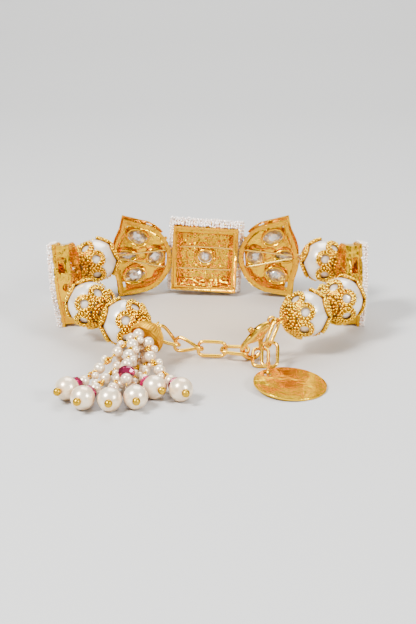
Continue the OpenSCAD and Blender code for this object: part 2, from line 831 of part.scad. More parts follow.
loop_wire = 0.3;
loop_width = 1.75;
loop_from = [14.596, -16.382, 1.55];
function in_tag_world(p) =
  tag_centre + turn_z(turn_y(p, -tag_lean), tag_heading);
loop_to = in_tag_world([tag_hole_out, 0, 0]);
loop_steps = 8;
module tag_loop() {
  along = unit(loop_to - loop_from);
  side = unit(cross(along, [0, 0, 1]));
  up = cross(side, along);
  b = loop_width / 2;
  length = norm(loop_to - loop_from) - loop_width;
  pts = concat(
    [for (k = [0 : loop_steps]) let (w = 90 - 180 * k / loop_steps) [length / 2 + b * cos(w), b * sin(w)]],
    [for (k = [0 : loop_steps]) let (w = 270 - 180 * k / loop_steps) [b * cos(w) - length / 2, b * sin(w)]]
  );
  n = len(pts);
  middle = (loop_from + loop_to) / 2;
  c = [for (p = pts) middle + along * p[0] + up * p[1]];
  color(gold) skin([
    for (i = [0 : n - 1])
      let (t = unit(c[(i + 1) % n] - c[(i + n - 1) % n]), s = cross(t, side))
      ring_points(c[i], s, side, loop_wire, loop_wire, wire_sides)
  ], true);
}
module tag() {
  color(gold) in_tag() difference() {
    cylinder(r = tag_r, h = tag_thick, center = true, $fn = fine);
    translate([tag_hole_out, 0, 0]) cylinder(r = tag_hole_r, h = far, center = true, $fn = coarse);
  }
}

module tassel_cap() {
  color(gold) union() {
    aimed(dome_mouth, tassel_axis) rotate_extrude($fn = fine) difference() {
      intersection() {
        scale([dome_r, dome_depth]) circle(r = 1, $fn = fine);
        square(far);
      }
      scale([dome_r - dome_wall, dome_depth - dome_wall]) circle(r = 1, $fn = fine);
    }
    aimed(tassel_point, cross(tassel_axis, cross(ring_tangent(left_ring, -120), tassel_axis)))
      torus(tassel_eye_r, tassel_eye_wire);
  }
}
module tassel_string_1() {
  tassel_string(0);
}
module tassel_string_2() {
  tassel_string(1);
}
module tassel_string_3() {
  tassel_string(2);
}
module tassel_string_4() {
  tassel_string(3);
}
module tassel_string_5() {
  tassel_string(4);
}
module tassel_string_6() {
  tassel_string(5);
}
module tassel_string_7() {
  tassel_string(6);
}
module tassel_wires() {
  color(gold) union() {
    translate(knot) sphere(r = 0.6, $fn = 14);
    for (k = [0 : 6]) tassel_wire(k);
  }
}

module pearl_back_left() {
  pearl(bead_back_left);
}
module pearl_back_right() {
  pearl(bead_back_right);
}
module pearl_left_rear() {
  pearl(bead_left_rear);
}
module pearl_left_front() {
  pearl(bead_left_front);
}
module pearl_right_rear() {
  pearl(bead_right_rear);
}
module pearl_right_front() {
  pearl(bead_right_front);
}
module caps_back_left() {
  caps(bead_back_left);
}
module caps_back_right() {
  caps(bead_back_right);
}
module caps_left_rear() {
  caps(bead_left_rear);
}
module caps_left_front() {
  caps(bead_left_front);
}
module caps_right_rear() {
  caps(bead_right_rear);
}
module caps_right_front() {
  caps(bead_right_front);
}

// Shown sub-parts
plaque_centre();
plaque_left();
plaque_right();
plaque_side_left();
plaque_side_right();
centre_stone();
petal_stones();
stones_side_left();
stones_side_right();
stone_left_tip();
stone_left_upper();
stone_left_lower();
stone_left_drop();
stone_right_tip();
stone_right_upper();
stone_right_lower();
stone_right_drop();
border_centre();
border_side_left();
border_side_right();
pearl_back_left();
pearl_back_right();
pearl_left_rear();
pearl_left_front();
pearl_right_rear();
pearl_right_front();
caps_back_left();
caps_back_right();
caps_left_rear();
caps_left_front();
caps_right_rear();
caps_right_front();
strand_upper();
strand_lower();
end_eye_left();
end_eye_right();
jump_ring_left();
jump_ring_right();
clasp_body();
clasp_lever();
chain_link_1();
chain_link_2();
chain_link_3();
chain_link_4();
tail_link_1();
tail_link_2();
tail_link_3();
tag_loop();
tag();
tassel_cap();
tassel_string_1();
tassel_string_2();
tassel_string_3();
tassel_string_4();
tassel_string_5();
tassel_string_6();
tassel_string_7();
tassel_wires();
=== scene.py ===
import math

import bmesh
import bpy
import numpy as np
from mathutils import Euler, Matrix, Vector


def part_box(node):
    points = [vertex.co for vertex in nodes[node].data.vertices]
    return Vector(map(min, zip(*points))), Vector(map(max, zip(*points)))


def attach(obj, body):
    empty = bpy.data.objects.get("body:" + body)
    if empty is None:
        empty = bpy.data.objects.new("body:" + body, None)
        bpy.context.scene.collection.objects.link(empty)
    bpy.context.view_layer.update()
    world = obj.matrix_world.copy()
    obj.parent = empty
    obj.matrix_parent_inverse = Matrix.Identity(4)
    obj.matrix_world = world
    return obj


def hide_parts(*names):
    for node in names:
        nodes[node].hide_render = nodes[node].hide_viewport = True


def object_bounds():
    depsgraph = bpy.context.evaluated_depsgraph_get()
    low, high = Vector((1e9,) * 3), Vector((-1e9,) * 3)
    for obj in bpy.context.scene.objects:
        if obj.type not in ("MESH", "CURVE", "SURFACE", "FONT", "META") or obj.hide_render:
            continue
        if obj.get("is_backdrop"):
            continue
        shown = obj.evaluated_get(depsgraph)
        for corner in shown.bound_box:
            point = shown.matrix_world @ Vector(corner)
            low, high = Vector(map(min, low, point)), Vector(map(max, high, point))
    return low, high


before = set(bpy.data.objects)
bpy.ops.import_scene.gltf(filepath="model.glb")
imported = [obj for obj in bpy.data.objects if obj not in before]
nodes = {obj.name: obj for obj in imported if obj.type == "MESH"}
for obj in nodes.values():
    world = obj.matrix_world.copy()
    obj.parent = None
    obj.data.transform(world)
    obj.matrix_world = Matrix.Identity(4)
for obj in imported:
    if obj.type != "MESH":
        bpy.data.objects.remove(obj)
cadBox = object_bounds()
mm = 0.001
weld = 0.0004 * mm  # corners nearer than this are one
flatAngle = math.radians(0.6)  # faces that meet at less than this are one
print("frame loaded:", len(nodes), "nodes")

# meshes read from the frame


def mergedMesh(node):
    # a CAD node is loose triangles, so its corners are joined first
    bm = bmesh.new()
    bm.from_mesh(nodes[node].data)
    bmesh.ops.remove_doubles(bm, verts=bm.verts, dist=weld)
    return bm


def flatFacedMesh(node):
    # the same, with the triangles of each flat face joined
    bm = mergedMesh(node)
    bmesh.ops.dissolve_limit(bm, angle_limit=flatAngle, verts=bm.verts, edges=bm.edges)
    return bm


def plainMesh(name, bm):
    mesh = bpy.data.meshes.new(name)
    bm.to_mesh(mesh)
    bm.free()
    return mesh


def smooth(mesh, sharp=None):
    # sharp is the angle in degrees from which an edge stays sharp
    mesh.polygons.foreach_set("use_smooth", [True] * len(mesh.polygons))
    if sharp:
        mesh.set_sharp_from_angle(angle=math.radians(sharp))


def looseParts(node):
    # the separate solids of a node, as lists of corner positions and faces
    bm = mergedMesh(node)
    seen = set()
    parts = []
    for start in bm.verts:
        if start.index in seen:
            continue
        stack, found = [start], []
        seen.add(start.index)
        while stack:
            v = stack.pop()
            found.append(v)
            for e in v.link_edges:
                w = e.other_vert(v)
                if w.index not in seen:
                    seen.add(w.index)
                    stack.append(w)
        order = {v.index: i for i, v in enumerate(found)}
        faces = {f for v in found for f in v.link_faces}
        parts.append({
            "points": [v.co.copy() for v in found],
            "faces": [[order[v.index] for v in f.verts] for f in faces],
        })
    bm.free()
    return parts


def middle(points):
    lo = [min(p[i] for p in points) for i in range(3)]
    hi = [max(p[i] for p in points) for i in range(3)]
    return (Vector(lo) + Vector(hi)) / 2


def reach(points, centre):
    return max((p - centre).length for p in points)


def newPiece(name, mesh, material=None):
    piece = bpy.data.objects.new(name, mesh)
    bpy.context.scene.collection.objects.link(piece)
    if material:
        mesh.materials.append(material)
    return piece


def finished(piece, body, slotName, *replaced):
    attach(piece, body)
    if replaced:
        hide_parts(*replaced)
    return piece

# nodes, for the materials and for the geometry


def setInputs(tree, node, inputs):
    # a value is another socket, a number, a colour or a vector
    for label, value in inputs.items():
        socket = node.inputs[label]
        if isinstance(value, bpy.types.NodeSocket):
            tree.links.new(value, socket)
        else:
            socket.default_value = (*value, 1) if socket.type == "RGBA" else value


def addNode(tree, kind, inputs=None, **settings):
    node = tree.nodes.new(kind)
    for label, value in settings.items():
        setattr(node, label, value)
    setInputs(tree, node, inputs or {})
    return node


def mixColours(tree, factor, a, b):
    return addNode(tree, "ShaderNodeMix", {0: factor, 6: a, 7: b}, data_type="RGBA").outputs[2]


def calculated(tree, operation, *values):
    return addNode(tree, "ShaderNodeMath", dict(enumerate(values)), operation=operation).outputs[0]


def rangeOf(tree, value, low, high, toLow=0.0, toHigh=1.0):
    stretch = addNode(tree, "ShaderNodeMapRange", {
        "Value": value, "From Min": low, "From Max": high, "To Min": toLow, "To Max": toHigh})
    return stretch.outputs["Result"]


def emptyTree(name, kind, inputs, outputs):
    # inputs and outputs are sockets' names and kinds; the inputs come back as sockets to link from
    tree = bpy.data.node_groups.new(name, kind)
    for way, sockets in (("INPUT", inputs), ("OUTPUT", outputs)):
        for label, socketKind in sockets.items():
            tree.interface.new_socket(label, in_out=way, socket_type="NodeSocket" + socketKind)
    return tree, tree.nodes.new("NodeGroupInput").outputs, tree.nodes.new("NodeGroupOutput")

# shader groups

# how many rays look for a crevice, and the openness at which its painted shade starts and ends
crevices = {"samples": 8, "range": (0.15, 0.85)}


def shadedCrevices(group, given, colour):
    # mixes painted shade in where other surfaces stand close by
    openness = addNode(group, "ShaderNodeAmbientOcclusion", {"Distance": given["Crevice Size"]},
                       samples=crevices["samples"])
    share = rangeOf(group, openness.outputs["AO"], *crevices["range"])
    return mixColours(group, share, given["Painted Crevice Shade"], colour)


# the slow clouds and the fine grain: noise scale and detail, and the stretch of the noise that is used
goldPattern = {"cloudScale": 160, "cloudDetail": 3, "cloudRange": (0.35, 0.65),
               "grainDetail": 4, "grainRange": (0.3, 0.7)}


def makeGoldSurface():
    # cast and polished gold: a slow change of tone, a fine grain and a coarser hammering, with painted shade
    # in the crevices
    group, given, out = emptyTree(
        "goldSurface", "ShaderNodeTree",
        {"Tone": "Color", "Deep Tone": "Color", "Grain Size": "Float", "Hammer Size": "Float",
         "Hammer": "Float", "Grain": "Float", "Smooth": "Float", "Rough": "Float",
         "Painted Crevice Shade": "Color", "Crevice Size": "Float"},
        {"Colour": "Color", "Roughness": "Float", "Height": "Float"})
    place = addNode(group, "ShaderNodeTexCoord").outputs["Object"]
    cloud = addNode(group, "ShaderNodeTexNoise", {
        "Vector": place, "Scale": goldPattern["cloudScale"], "Detail": goldPattern["cloudDetail"]})
    grain = addNode(group, "ShaderNodeTexNoise", {
        "Vector": place, "Scale": given["Grain Size"], "Detail": goldPattern["grainDetail"]})
    hammer = addNode(group, "ShaderNodeTexVoronoi", {"Vector": place, "Scale": given["Hammer Size"]},
                     feature="SMOOTH_F1")
    tone = rangeOf(group, cloud.outputs["Fac"], *goldPattern["cloudRange"])
    cloudy = mixColours(group, tone, given["Deep Tone"], given["Tone"])
    hammered = calculated(group, "MULTIPLY", hammer.outputs["Distance"], given["Hammer"])
    grained = calculated(group, "MULTIPLY", grain.outputs["Fac"], given["Grain"])
    setInputs(group, out, {
        "Colour": shadedCrevices(group, given, cloudy),
        "Roughness": rangeOf(group, grain.outputs["Fac"], *goldPattern["grainRange"],
                             given["Smooth"], given["Rough"]),
        "Height": calculated(group, "ADD", hammered, grained)})
    return group


pearlClouds = {"detail": 2, "range": (0.4, 0.75)}


def makeNacre():
    # pearl lustre: a cream body with faint cool and rosy clouds, with painted shade where other surfaces
    # stand close
    group, given, out = emptyTree(
        "nacre", "ShaderNodeTree",
        {"Cream": "Color", "Rose": "Color", "Cloud Size": "Float", "Painted Crevice Shade": "Color",
         "Crevice Size": "Float"},
        {"Colour": "Color", "Height": "Float"})
    cloud = addNode(group, "ShaderNodeTexNoise", {
        "Vector": addNode(group, "ShaderNodeTexCoord").outputs["Object"], "Scale": given["Cloud Size"],
        "Detail": pearlClouds["detail"]}).outputs["Fac"]
    share = rangeOf(group, cloud, *pearlClouds["range"])
    cloudy = mixColours(group, share, given["Cream"], given["Rose"])
    setInputs(group, out, {"Colour": shadedCrevices(group, given, cloudy), "Height": cloud})
    return group


def makeCutFacets():
    # small flat patches that look in different directions, like the facets of a cut stone, and a tone for
    # each patch by which it is painted lighter or darker, as painted reflection
    group, given, out = emptyTree(
        "cutFacets", "ShaderNodeTree", {"Facet Size": "Float", "Spread": "Float"},
        {"Normal": "Vector", "Tone": "Float"})
    cells = addNode(group, "ShaderNodeTexVoronoi", {
        "Vector": addNode(group, "ShaderNodeTexCoord").outputs["Object"],
        "Scale": given["Facet Size"]}).outputs["Color"]

    def vectorMath(operation, inputs):
        return addNode(group, "ShaderNodeVectorMath", inputs, operation=operation).outputs["Vector"]

    # the cells' random colours run from 0 to 1, so their middle is taken off
    centred = vectorMath("SUBTRACT", {0: cells, 1: (0.5, 0.5, 0.5)})
    spread = vectorMath("SCALE", {0: centred, "Scale": given["Spread"]})
    surface = addNode(group, "ShaderNodeNewGeometry").outputs["Normal"]
    tipped = vectorMath("ADD", {0: surface, 1: spread})
    channels = addNode(group, "ShaderNodeSeparateColor", {"Color": cells})
    setInputs(group, out, {"Normal": vectorMath("NORMALIZE", {0: tipped}), "Tone": channels.outputs["Red"]})
    return group


goldSurface = makeGoldSurface()
nacre = makeNacre()
cutFacets = makeCutFacets()


def newMaterial(name):
    material = bpy.data.materials.new(name)
    material.use_nodes = True
    return material, material.node_tree, material.node_tree.nodes["Principled BSDF"]


def groupNode(tree, group, settings):
    # the group's inputs take the settings of the same names, the crevice size in millimetres
    node = addNode(tree, "ShaderNodeGroup", node_tree=group)
    for label in node.inputs.keys():
        key = label[0].lower() + label[1:].replace(" ", "")
        value = settings[key] * mm if key == "creviceSize" else settings[key]
        setInputs(tree, node, {label: value})
    return node.outputs


def bumpOf(tree, height, strength, relief):
    return addNode(tree, "ShaderNodeBump", {
        "Height": height, "Strength": strength, "Distance": relief * mm}).outputs["Normal"]


def goldMaterial(name, settings):
    material, tree, shader = newMaterial(name)
    surface = groupNode(tree, goldSurface, {**plainGold, **settings})
    setInputs(tree, shader, {
        "Base Color": surface["Colour"], "Roughness": surface["Roughness"], "Metallic": 1,
        "Specular Tint": settings["glance"],
        "Normal": bumpOf(tree, surface["Height"], settings["bump"], settings["relief"])})
    return material


def pearlMaterial(name, settings):
    material, tree, shader = newMaterial(name)
    surface = groupNode(tree, nacre, settings)
    setInputs(tree, shader, {
        "Base Color": surface["Colour"], "Roughness": settings["rough"], "Metallic": settings["mirror"],
        "Normal": bumpOf(tree, surface["Height"], pearlGloss["bump"], pearlGloss["relief"]),
        "Coat Weight": settings["coat"], "Coat Roughness": pearlGloss["coatRough"],
        "Coat IOR": pearlGloss["coatIor"]})
    return material


def stoneMaterial(name, settings):
    material, tree, shader = newMaterial(name)
    surface = groupNode(tree, cutFacets, settings)
    # each facet is painted between the deep and the light colour: painted reflections of light and dark
    # facets
    share = rangeOf(tree, surface["Tone"], *stoneGloss["paintedSparkleRange"])
    setInputs(tree, shader, {
        "Base Color": mixColours(tree, share, settings["deep"], settings["colour"]),
        "Normal": surface["Normal"], "Roughness": settings["rough"], "Metallic": settings["mirror"],
        "Coat Weight": settings["coat"], "Coat Roughness": stoneGloss["coatRough"],
        "IOR": stoneGloss["ior"]})
    return material


pearlGloss = {"bump": 0.25, "relief": 0.01, "coatRough": 0.08, "coatIor": 1.9}
stoneGloss = {"paintedSparkleRange": (0.25, 0.75), "coatRough": 0.03, "ior": 1.7}
# tone and deepTone are the clouds, glance the tint at a grazing angle, grainSize and hammerSize noise scales,
# grain and hammer their shares of the relief, smooth and rough the ends of the roughness; the crevice
# colour is painted shade where surfaces stand close; relief and creviceSize are millimetres; what a finish
# leaves out is as in plainGold
plainGold = {"grainSize": 900, "grain": 1, "hammerSize": 300, "hammer": 0}
finishes = {
    "castGold": {
        "tone": (0.94, 0.54, 0.0), "deepTone": (0.88, 0.44, 0.0), "glance": (1.0, 0.76, 0.1),
        "grainSize": 1100, "hammerSize": 900, "hammer": 0.6, "grain": 0.5, "smooth": 0.06, "rough": 0.22,
        "bump": 1.0, "relief": 0.3, "paintedCreviceShade": (0.8, 0.43, 0.0), "creviceSize": 1.5},
    "hammeredGold": {
        "tone": (1.0, 0.65, 0.0), "deepTone": (0.88, 0.51, 0.0), "glance": (1.0, 0.82, 0.3),
        "grainSize": 1100, "hammerSize": 1100, "hammer": 0.9, "grain": 0.3, "smooth": 0.03, "rough": 0.12,
        "bump": 1.0, "relief": 0.8, "paintedCreviceShade": (0.5, 0.26, 0.0), "creviceSize": 2.5},
    "rippledGold": {
        "tone": (1.0, 0.66, 0.0), "deepTone": (0.98, 0.58, 0.0), "glance": (1.0, 0.84, 0.35),
        "hammerSize": 520, "hammer": 0.8, "grain": 0.2, "smooth": 0.1, "rough": 0.2, "bump": 0.8,
        "relief": 0.42, "paintedCreviceShade": (0.7, 0.4, 0.0), "creviceSize": 1.2},
    "polishedGold": {
        "tone": (1.0, 0.62, 0.0), "deepTone": (0.97, 0.54, 0.0), "glance": (1.0, 0.84, 0.35),
        "smooth": 0.07, "rough": 0.17, "bump": 0.03, "relief": 0.02, "paintedCreviceShade": (0.55, 0.28, 0.0),
        "creviceSize": 0.6},
    "satinGold": {
        "tone": (1.0, 0.6, 0.04), "deepTone": (0.97, 0.53, 0.02), "glance": (1.0, 0.84, 0.35),
        "smooth": 0.2, "rough": 0.29, "bump": 0.05, "relief": 0.03, "paintedCreviceShade": (0.5, 0.25, 0.0),
        "creviceSize": 1.2},
    "pinGold": {
        "tone": (0.66, 0.4, 0.02), "deepTone": (0.55, 0.31, 0.0), "glance": (0.9, 0.65, 0.2),
        "grainSize": 1200, "smooth": 0.26, "rough": 0.38, "bump": 0.1, "relief": 0.03,
        "paintedCreviceShade": (0.4, 0.2, 0.0), "creviceSize": 0.6},
    "strandGold": {
        "tone": (1.0, 0.72, 0.16), "deepTone": (1.0, 0.66, 0.1), "glance": (1.0, 0.9, 0.6), "smooth": 0.2,
        "rough": 0.3, "bump": 0.03, "relief": 0.02, "paintedCreviceShade": (0.6, 0.3, 0.0), "creviceSize": 0.3},
    "grainGold": {
        "tone": (1.0, 0.66, 0.04), "deepTone": (0.98, 0.54, 0.0), "glance": (1.0, 0.86, 0.4),
        "grainSize": 2200, "hammerSize": 900, "hammer": 0.3, "smooth": 0.05, "rough": 0.14, "bump": 0.15,
        "relief": 0.04, "paintedCreviceShade": (0.38, 0.14, 0.0), "creviceSize": 0.5},
    # the cap sheet's gold is darkened: painted shade between the cap's grains
    "shadedSheetGold": {
        "tone": (0.68, 0.34, 0.0), "deepTone": (0.36, 0.16, 0.0), "glance": (0.95, 0.65, 0.2),
        "grainSize": 1800, "hammerSize": 1400, "hammer": 1.0, "smooth": 0.2, "rough": 0.4, "bump": 0.7,
        "relief": 0.15, "paintedCreviceShade": (0.25, 0.08, 0.0), "creviceSize": 0.5},
    "brushedGold": {
        "tone": (0.95, 0.56, 0.0), "deepTone": (0.85, 0.42, 0.0), "glance": (1.0, 0.76, 0.2),
        "grainSize": 1100, "hammerSize": 260, "hammer": 0.5, "smooth": 0.3, "rough": 0.45, "bump": 0.3,
        "relief": 0.08, "paintedCreviceShade": (0.4, 0.18, 0.0), "creviceSize": 2.0},
    "leafGold": {
        "tone": (1.0, 0.6, 0.0), "deepTone": (0.94, 0.51, 0.0), "glance": (1.0, 0.8, 0.1), "grainSize": 260,
        "hammerSize": 180, "hammer": 1.0, "smooth": 0.1, "rough": 0.22, "bump": 0.8, "relief": 0.4,
        "paintedCreviceShade": (0.6, 0.3, 0.0), "creviceSize": 1.0},
}
gold = {name: goldMaterial(name, settings) for name, settings in finishes.items()}
# the pearls' crevice colours are painted shade where caps and other beads stand close
largePearl = pearlMaterial("largePearl", {
    "cream": (0.93, 0.87, 0.79), "rose": (0.94, 0.8, 0.66), "cloudSize": 300, "rough": 0.28, "coat": 0.8,
    "mirror": 0.35, "paintedCreviceShade": (0.45, 0.32, 0.18), "creviceSize": 1.6})
dropPearl = pearlMaterial("dropPearl", {
    "cream": (1.0, 0.85, 0.62), "rose": (1.0, 0.72, 0.44), "cloudSize": 420, "rough": 0.3, "coat": 0.7,
    "mirror": 0.45, "paintedCreviceShade": (0.6, 0.36, 0.14), "creviceSize": 2.2})
seedPearl = pearlMaterial("seedPearl", {
    "cream": (1.0, 0.98, 0.93), "rose": (1.0, 0.74, 0.6), "cloudSize": 900, "rough": 0.14, "coat": 1.0,
    "mirror": 0.1, "paintedCreviceShade": (1.0, 0.6, 0.36), "creviceSize": 0.35})
# colour is the facets painted light and deep those painted dark, painted reflections of a cut stone
clearStone = stoneMaterial("clearStone", {
    "colour": (1.0, 1.0, 1.0), "deep": (0.6, 0.6, 0.61), "facetSize": 1100, "spread": 0.9, "rough": 0.05,
    "mirror": 0.5, "coat": 1.0})
magentaCrystal = stoneMaterial("magentaCrystal", {
    "colour": (0.5, 0.0, 0.1), "deep": (0.12, 0.0, 0.02), "facetSize": 800, "spread": 0.8, "rough": 0.15,
    "mirror": 0.3, "coat": 0.15})
print("materials ready:", len(bpy.data.materials))

# geometry nodes


def geometryTree(name, inputs):
    return emptyTree(name, "GeometryNodeTree", {"Geometry": "Geometry", **inputs}, {"Geometry": "Geometry"})


def endTree(tree, geometry, material, out):
    real = addNode(tree, "GeometryNodeRealizeInstances", {"Geometry": geometry})
    smoothed = addNode(tree, "GeometryNodeSetShadeSmooth", {"Geometry": real.outputs[0]})
    painted = addNode(tree, "GeometryNodeSetMaterial", {
        "Geometry": smoothed.outputs[0], "Material": material})
    setInputs(tree, out, {"Geometry": painted.outputs[0]})


def grownPiece(name, source, tree, settings):
    # runs a tree on a mesh and keeps the result as a plain mesh
    carrier = bpy.data.objects.new(name + "Source", source)
    bpy.context.scene.collection.objects.link(carrier)
    modifier = carrier.modifiers.new("grow", "NODES")
    modifier.node_group = tree
    for item in tree.interface.items_tree:
        if item.in_out == "INPUT" and item.name in settings:
            modifier[item.identifier] = settings[item.name]
    depsgraph = bpy.context.evaluated_depsgraph_get()
    mesh = bpy.data.meshes.new_from_object(carrier.evaluated_get(depsgraph), depsgraph=depsgraph)
    mesh.name = name
    carrier.modifiers.remove(modifier)
    bpy.data.objects.remove(carrier)
    return newPiece(name, mesh)


def beadTree():
    # a round bead on every point, sized by the point's beadRadius
    tree, given, out = geometryTree(
        "beadsOnPoints", {"Segments": "Int", "Rings": "Int", "Bead Material": "Material"})
    ball = addNode(tree, "GeometryNodeMeshUVSphere", {
        "Segments": given["Segments"], "Rings": given["Rings"], "Radius": 1.0})
    size = addNode(tree, "GeometryNodeInputNamedAttribute", {"Name": "beadRadius"}, data_type="FLOAT")
    placed = addNode(tree, "GeometryNodeInstanceOnPoints", {
        "Points": given["Geometry"], "Instance": ball.outputs["Mesh"], "Scale": size.outputs["Attribute"]})
    endTree(tree, placed.outputs[0], given["Bead Material"], out)
    return tree


def wireTree():
    # a round wire along every line of the given mesh
    tree, given, out = geometryTree(
        "wireOnLines", {"Wire Radius": "Float", "Sides": "Int", "Wire Material": "Material"})
    line = addNode(tree, "GeometryNodeMeshToCurve", {"Mesh": given["Geometry"]})
    profile = addNode(tree, "GeometryNodeCurvePrimitiveCircle", {
        "Radius": given["Wire Radius"], "Resolution": given["Sides"]})
    tube = addNode(tree, "GeometryNodeCurveToMesh", {
        "Curve": line.outputs["Curve"], "Profile Curve": profile.outputs["Curve"], "Fill Caps": True})
    endTree(tree, tube.outputs[0], given["Wire Material"], out)
    return tree


# the grains in a loop's two rows, the rows round the pole (share of the outer row's radius, grains, degrees
# turned), the least and greatest grain, and how round the grains and the rim are
capGrains = {"loopRows": {"Inner Row": 12, "Outer Row": 17}, "sizes": (0.85, 1.15),
             "poleRows": [(0.62, 10, 0), (0.98, 17, 0), (1.36, 6, 30), (1.62, 6, 30)],
             "segments": 8, "rings": 5, "rimSteps": 20, "rimSides": 6}


def capTree():
    # a granulated cap round the Z axis: loops of grains and smooth rims on a ball, and rings round the pole
    tree, given, out = geometryTree("granulatedCap", {
        "Cap Radius": "Float", "Loops": "Int", "Loop Tilt": "Float", "Rim Radius": "Float",
        "Inner Row": "Float", "Outer Row": "Float", "Grain Radius": "Float", "Rim Wire": "Float",
        "Seed": "Int", "Cap Material": "Material"})

    def liftedToBall(geometry, rowRadius):
        # lifts a ring of this radius to where it lies on the ball
        squares = [calculated(tree, "MULTIPLY", value, value) for value in (given["Cap Radius"], rowRadius)]
        height = calculated(tree, "SQRT", calculated(tree, "SUBTRACT", *squares))
        lift = addNode(tree, "ShaderNodeCombineXYZ", {"Z": height})
        return addNode(tree, "GeometryNodeTransform", {
            "Geometry": geometry, "Translation": lift.outputs[0]}).outputs[0]

    def rowOfGrains(rowRadius, count):
        ring = addNode(tree, "GeometryNodeMeshCircle", {"Radius": rowRadius, "Vertices": count})
        return liftedToBall(ring.outputs[0], rowRadius)

    # the loops stand round the axis, tipped outward
    spots = addNode(tree, "GeometryNodeMeshLine", {"Count": given["Loops"], "Offset": (0, 0, 0)})
    step = calculated(tree, "DIVIDE", 2 * math.pi, given["Loops"])
    angle = calculated(tree, "MULTIPLY", addNode(tree, "GeometryNodeInputIndex").outputs[0], step)
    turn = addNode(tree, "ShaderNodeCombineXYZ", {"Y": given["Loop Tilt"], "Z": angle})

    def roundTheAxis(geometry):
        return addNode(tree, "GeometryNodeInstanceOnPoints", {
            "Points": spots.outputs["Mesh"], "Instance": geometry, "Rotation": turn.outputs[0]}).outputs[0]

    def joined(geometries):
        join = addNode(tree, "GeometryNodeJoinGeometry")
        for geometry in geometries:
            tree.links.new(geometry, join.inputs[0])
        return join.outputs[0]

    loopRows = joined([rowOfGrains(given[label], count) for label, count in capGrains["loopRows"].items()])
    rows = [roundTheAxis(loopRows)]
    for share, count, turned in capGrains["poleRows"]:
        row = rowOfGrains(calculated(tree, "MULTIPLY", given["Outer Row"], share), count)
        rows.append(addNode(tree, "GeometryNodeTransform", {
            "Geometry": row, "Rotation": (0, 0, math.radians(turned))}).outputs[0])
    real = addNode(tree, "GeometryNodeRealizeInstances", {"Geometry": joined(rows)})
    grain = addNode(tree, "GeometryNodeMeshUVSphere", {
        "Radius": given["Grain Radius"], "Segments": capGrains["segments"], "Rings": capGrains["rings"]})
    least, greatest = capGrains["sizes"]
    size = addNode(tree, "FunctionNodeRandomValue", {2: least, 3: greatest, "Seed": given["Seed"]},
                   data_type="FLOAT")
    grains = addNode(tree, "GeometryNodeInstanceOnPoints", {
        "Points": real.outputs[0], "Instance": grain.outputs["Mesh"], "Scale": size.outputs[1]})

    rimLine, rimProfile = [addNode(tree, "GeometryNodeCurvePrimitiveCircle", {
        "Radius": given[label], "Resolution": capGrains[steps]}).outputs[0]
        for label, steps in (("Rim Radius", "rimSteps"), ("Rim Wire", "rimSides"))]
    rim = addNode(tree, "GeometryNodeCurveToMesh", {"Curve": rimLine, "Profile Curve": rimProfile})
    rimOnBall = liftedToBall(rim.outputs[0], given["Rim Radius"])
    endTree(tree, joined([grains.outputs[0], roundTheAxis(rimOnBall)]), given["Cap Material"], out)
    return tree


beadsOnPoints = beadTree()
wireOnLines = wireTree()
granulatedCap = capTree()
print("geometry node trees ready")


def pointMesh(name, points, radii):
    mesh = bpy.data.meshes.new(name)
    mesh.from_pydata([tuple(p) for p in points], [], [])
    size = mesh.attributes.new("beadRadius", "FLOAT", "POINT")
    size.data.foreach_set("value", radii)
    return mesh


def lineMesh(name, lines):
    # each line is (points, closed)
    corners, edges = [], []
    for points, closed in lines:
        first = len(corners)
        corners += [tuple(p) for p in points]
        edges += [(first + i, first + i + 1) for i in range(len(points) - 1)]
        if closed:
            edges.append((len(corners) - 1, first))
    mesh = bpy.data.meshes.new(name)
    mesh.from_pydata(corners, edges, [])
    return mesh


def beadPiece(name, points, radii, roundness, material):
    # roundness is a bead's segments and rings
    return grownPiece(name, pointMesh(name, points, radii), beadsOnPoints, {
        "Segments": roundness[0], "Rings": roundness[1], "Bead Material": material})


def wirePiece(name, lines, radius, sides, material):
    return grownPiece(name, lineMesh(name, lines), wireOnLines, {
        "Wire Radius": radius * mm, "Sides": sides, "Wire Material": material})


def joinedMesh(name, pieces):
    # several plain pieces become one mesh
    bm = bmesh.new()
    materials = []
    for piece in pieces:
        offset = len(bm.faces)
        bm.from_mesh(piece.data)
        bm.faces.ensure_lookup_table()
        for material in piece.data.materials:
            if material not in materials:
                materials.append(material)
        own = [materials.index(m) for m in piece.data.materials] or [0]
        for face in bm.faces[offset:]:
            face.material_index = own[min(face.material_index, len(own) - 1)]
    mesh = plainMesh(name, bm)
    for material in materials:
        mesh.materials.append(material)
    for piece in pieces:
        bpy.data.objects.remove(piece)
    return mesh

# gold pieces with rounded edges


def polishedCopy(node, material, edge=0.0, sharp=35, body="bracelet"):
    # edge is the width of the worn edges in millimetres
    mesh = plainMesh(node + "Finished", flatFacedMesh(node))
    smooth(mesh, sharp)
    piece = newPiece(node + "_finished", mesh, material)
    if edge:
        bevel = piece.modifiers.new("edge", "BEVEL")
        bevel.width = edge * mm
        bevel.segments = 2
        bevel.limit_method = "ANGLE"
        bevel.angle_limit = math.radians(sharp)
        bevel.use_clamp_overlap = True
    return finished(piece, body, "gold", node)


wireFaces = math.radians(60)  # the triangles of a six-sided wire are joined up to this angle


def roundedCopy(node, material, grow):
    # a six-sided wire from the frame, grown a little and rounded
    bm = mergedMesh(node)
    bmesh.ops.join_triangles(bm, faces=bm.faces, angle_face_threshold=wireFaces,
                             angle_shape_threshold=wireFaces)
    bm.normal_update()
    for v in bm.verts:
        v.co += v.normal * grow * mm
    mesh = plainMesh(node + "Round", bm)
    smooth(mesh)
    piece = newPiece(node + "_round", mesh, material)
    soft = piece.modifiers.new("round", "SUBSURF")
    soft.levels = soft.render_levels = 2
    return finished(piece, "bracelet", "gold", node)


wristMiddle = Vector((0, 20 * mm, 11 * mm))  # inside the loop, at half height


